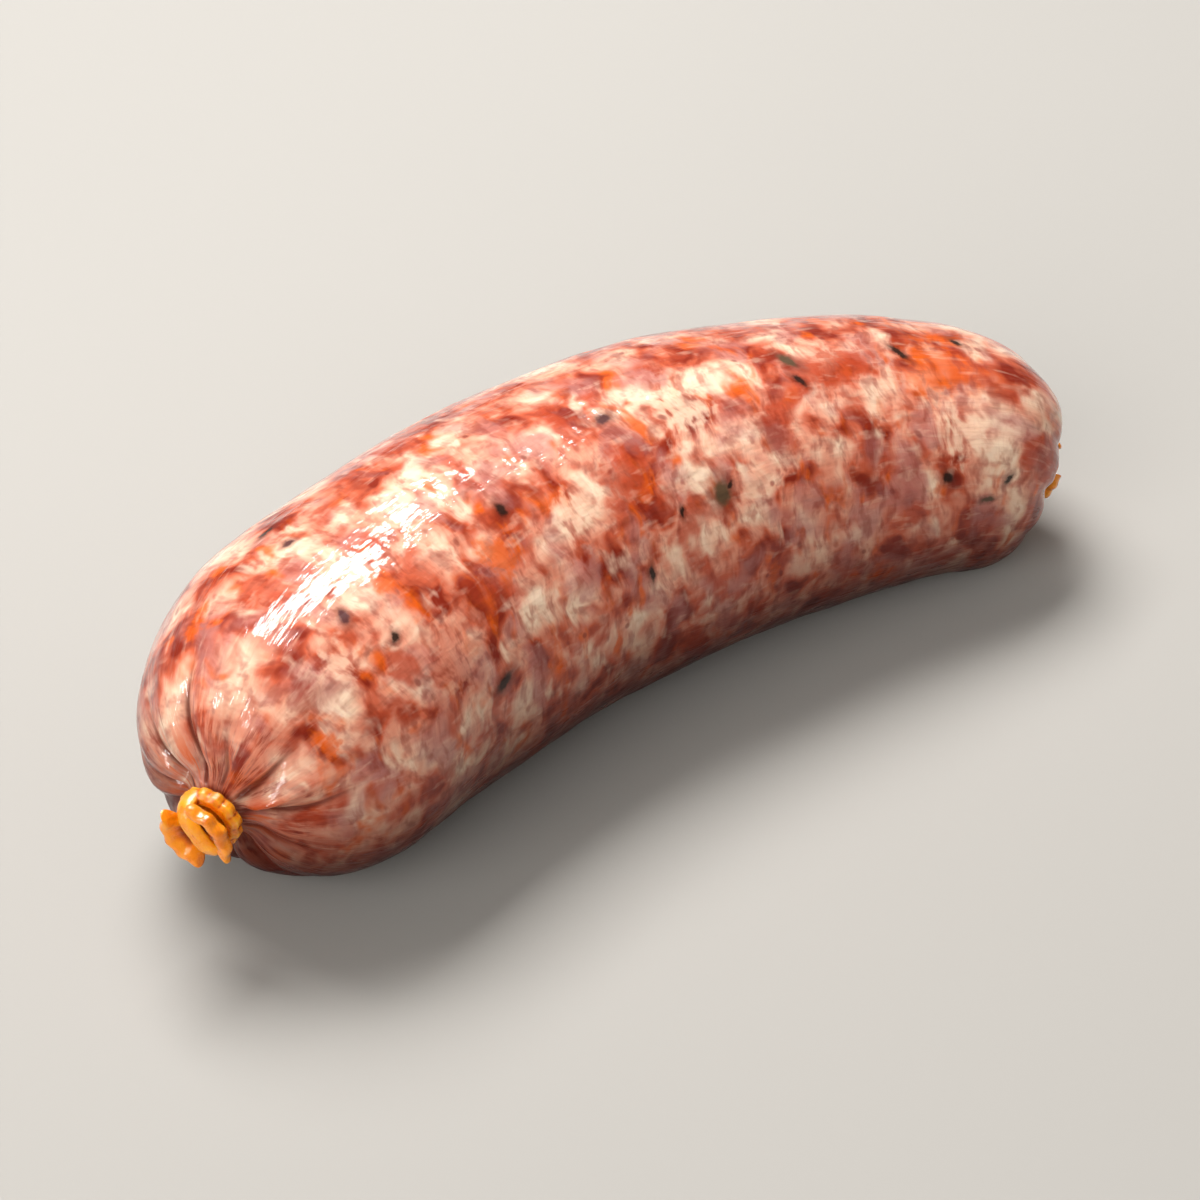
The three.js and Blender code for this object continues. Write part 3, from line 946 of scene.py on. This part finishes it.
def streaked(nodes, colour, around, bent, streak):
    """Fine pale and dark streaks drawn out round the link."""
    drawn_way = nodes.vector("MULTIPLY", around, DRAWN_WAY)
    drawn = nodes.noise(nodes.warped(drawn_way, *DRAWN), scale=0.8, detail=2.0, roughness=0.5)
    hair_way = nodes.vector("MULTIPLY", bent, HAIR_WAY)
    hairs = nodes.noise(hair_way, scale=0.9, detail=2.0)
    colour = nodes.mix(nodes.mask(drawn, *PALE_STREAK), colour, linear(CREAM))
    colour = nodes.mix(nodes.mask(streak, *DARK_STREAK), colour, linear(BRICK))
    colour = nodes.mix(nodes.mask(hairs, *HAIR), colour, linear(BRICK))
    return nodes.mix(nodes.mask(drawn, *DARK_MEAT_STREAK), colour, linear(DARK_MEAT))


def strewn_flecks():
    chance = random.Random(STREWN["seed"])
    flecks = []
    for i in range(STREWN["count"]):
        spot = [chance.uniform(*STREWN[key]) for key in ("along", "angle", "length", "width")]
        tone = (HERB_BLACK, HERB_GREY, HERB_PURPLE)[i % 3]
        flecks.append((*spot, chance.uniform(0, 180), tone))
    return flecks


def gathered(nodes, colour, around):
    """Towards each neck the colours are drawn out along the pleats, paler and touched with orange."""
    gather, ridge = nodes.attribute("gather", "Fac"), nodes.attribute("ridge", "Fac")
    ray_way = nodes.vector("MULTIPLY", around, RAY_WAY)
    rays = nodes.noise(ray_way, scale=1.0, detail=5.0, roughness=0.65)
    for ray, tone in ((PALE_RAY, PINK_BEIGE), (RUDDY_RAY, BRICK), (STAINED_RAY, STAIN)):
        share = nodes.math("MULTIPLY", nodes.mask(rays, *ray["noise"]), nodes.mask(gather, *ray["gather"]))
        colour = nodes.mix(share, colour, linear(tone))
    return nodes.mix(nodes.mask(ridge, *STAINED_FOLD), colour, linear(STAIN))


def specked(nodes, colour, bent):
    """Small red specks in a few of the grains."""
    grain = nodes.parts(nodes.cells(bent, SPECK["spacing"], "Color"))[0]
    rare = nodes.math("GREATER_THAN", grain, SPECK["rarer_than"])
    middle = nodes.mask(nodes.cells(bent, SPECK["spacing"], "Distance"), *SPECK["edge"])
    return nodes.mix(nodes.math("MULTIPLY", middle, rare), colour, linear(SPECK_RED))


def flecked(nodes, colour, straight):
    """Frayed herb and pepper flecks, each in darker meat."""
    frayed = nodes.warped(straight, *FRAYED, detail=3.0)
    flecks = [(*shown_at(pixel), *looks) for pixel, *looks in FLECKS] + strewn_flecks()
    insides = [nodes.blob(frayed, *fleck[:5]) for fleck in flecks]
    closest = functools.reduce(lambda one, other: nodes.math("MAXIMUM", one, other), insides)
    colour = nodes.mix(nodes.mask(closest, *FLECK_HALO), colour, linear(DARK_MEAT))
    for inside, fleck in zip(insides, flecks):
        colour = nodes.mix(nodes.mask(inside, *FLECK_EDGE), colour, linear(fleck[5]))
    return colour


def casing_material():
    nodes = Nodes("casing")
    straight = nodes.attribute("straight")
    around = nodes.attribute("around")
    bent = nodes.warped(straight, *BENT, detail=1.0)
    round_it = nodes.vector("MULTIPLY", bent, ROUND_IT)
    streak = nodes.noise(round_it, scale=0.55, detail=2.5, roughness=0.5)
    colour = meat_colour(nodes, bent, round_it)
    colour = patched(nodes, colour, straight, streak)
    colour = streaked(nodes, colour, around, bent, streak)
    colour = gathered(nodes, colour, around)
    colour = specked(nodes, colour, bent)
    colour = flecked(nodes, colour, straight)
    colour = nodes.mix(DEEPER, colour, colour, blend="OVERLAY")
    height = nodes.math("DIVIDE", nodes.vector("DOT_PRODUCT", straight, (0, 0, 1)), GIRTH[0])
    # Painted shade: the colour darkens towards the underside.
    colour = nodes.mix(nodes.mask(height, *FLANK_PAINTED_SHADE_RANGE), colour, linear(FLANK_PAINTED_SHADE), blend="MULTIPLY")
    # Painted shade in the pleats' creases and in the casing ends' hollows.
    colour = nodes.mix(nodes.mask(nodes.attribute("painted_relief_shading", "Fac"), *CREASE_SHADE), colour, linear(CREASE_PAINTED_SHADE))
    tight_way = nodes.vector("MULTIPLY", around, TIGHT_WAY)
    tight = nodes.noise(tight_way, scale=0.9, detail=3.0, roughness=0.55)
    soft = nodes.noise(straight, scale=0.3, detail=2.0)
    relief = nodes.bump(tight, CASING_RELIEF["tight"], nodes.bump(soft, CASING_RELIEF["soft"]))
    nodes.principled(
        {
            "Base Color": colour,
            "Roughness": nodes.mask(tight, *CASING_SHEEN["tight"]),
            "Specular IOR Level": 0.05,
            "Subsurface Weight": 0.12,
            "Subsurface Radius": (1.0, 0.42, 0.28),
            "Subsurface Scale": 1.0 * MM,
            "Coat Weight": nodes.mask(height, *CASING_SHEEN["coat"]),
            "Coat Roughness": 0.06,
            "Coat IOR": 1.33,
            "Normal": relief,
            "Coat Normal": relief,
        }
    )
    return nodes.material


def orange_material():
    nodes = Nodes("tie")
    straight = nodes.attribute("straight")
    painted_relief_shading = nodes.attribute("painted_relief_shading", "Fac")
    mottle = nodes.noise(nodes.warped(straight, *TIE_WARPED), scale=0.55, detail=5.0, roughness=0.6)
    uneven = nodes.math("MULTIPLY_ADD", mottle, *TIE_MOTTLED)
    # Painted light on ridges and painted shade in creases, over the random mottle
    raised = nodes.math("MULTIPLY_ADD", painted_relief_shading, TIE_RIDGE_LIGHT_CREASE_SHADE, uneven)
    colour = nodes.mix(nodes.mask(raised, *TIE_RAISED), linear(TIE_ORANGE), linear(TIE_LIGHT))
    colour = nodes.mix(nodes.mask(mottle, *TIE_RUST), colour, linear(TIE_DEEP))
    # Painted shade in the creases
    colour = nodes.mix(nodes.mask(painted_relief_shading, *TIE_PAINTED_CREASE_SHADE), colour, linear(TIE_DEEP))
    fine = nodes.noise(nodes.vector("MULTIPLY", straight, TIE_WAY), scale=1.3, detail=4.0)
    relief = nodes.bump(fine, TIE_RELIEF)
    nodes.principled(
        {
            "Base Color": colour,
            "Roughness": nodes.mask(mottle, *TIE_SHEEN),
            "Specular IOR Level": 0.2,
            "Subsurface Weight": 0.1,
            "Subsurface Radius": (1.0, 0.4, 0.1),
            "Subsurface Scale": 0.5 * MM,
            "Coat Weight": 1.0,
            "Coat Roughness": 0.05,
            "Coat IOR": 1.5,
            "Normal": relief,
            "Coat Normal": relief,
        }
    )
    return nodes.material


make_camera()
make_studio()
tie_orange = orange_material()
make_link(casing_material(), tie_orange)
make_ties(tie_orange)
